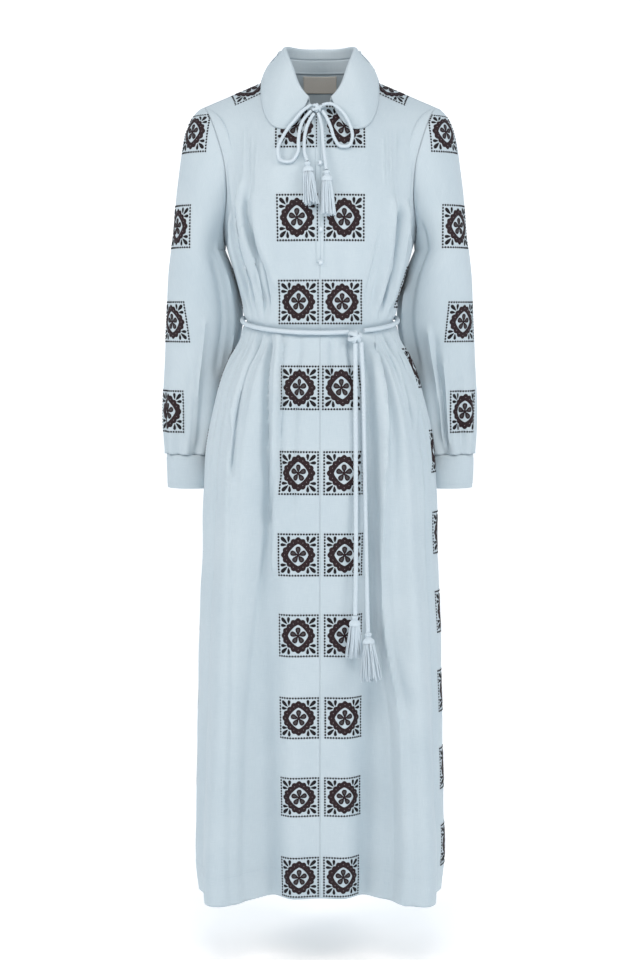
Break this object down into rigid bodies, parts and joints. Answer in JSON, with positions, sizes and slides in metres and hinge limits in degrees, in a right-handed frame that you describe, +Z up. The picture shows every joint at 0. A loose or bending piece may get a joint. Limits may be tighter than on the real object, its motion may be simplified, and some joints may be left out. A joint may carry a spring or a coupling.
{
  "type": "long shirt dress with a cord belt",
  "caption": "Long-sleeved shirt dress in its worn hollow form: club collar with a tied cord, tucked fronts, cord belt with tassels, full sleeves on cuffs, open hem.",
  "frame": {"origin": "Between the neck points of the shoulders, where the wearer carries the dress.", "axes": "+Z up along the body, +X to the viewer's right as seen from the front, the front faces -Y."},
  "size_m": [0.5274, 0.3063, 1.3923],
  "materials": {
    "dress_cloth": "matt plain weave, pale sky blue",
    "buttons": "small covered buttons",
    "label": "bare woven satin",
    "cord": "round braided cotton cord",
    "tassel": "cotton yarn"
  },
  "bodies": {
    "root": {"front_right": "dress_cloth", "front_left": "dress_cloth", "back": "dress_cloth", "sleeve_right": "dress_cloth", "sleeve_left": "dress_cloth", "cuff_right": "dress_cloth", "cuff_left": "dress_cloth", "collar_stand": "dress_cloth", "collar_leaf": "dress_cloth", "placket": "dress_cloth", "button_1": "buttons", "button_2": "buttons", "button_3": "buttons", "neck_label": "label", "belt_cord": "cord", "belt_knot": "cord", "belt_tail_short": "cord", "belt_tail_long": "cord", "tie_knot": "cord", "tie_loop_left": "cord", "tie_loop_right": "cord", "tie_tail_left": "cord", "tie_tail_right": "cord", "tassel_tie_left": "tassel", "tassel_tie_right": "tassel", "tassel_belt_short": "tassel", "tassel_belt_long": "tassel"}
  },
  "joints": []
}
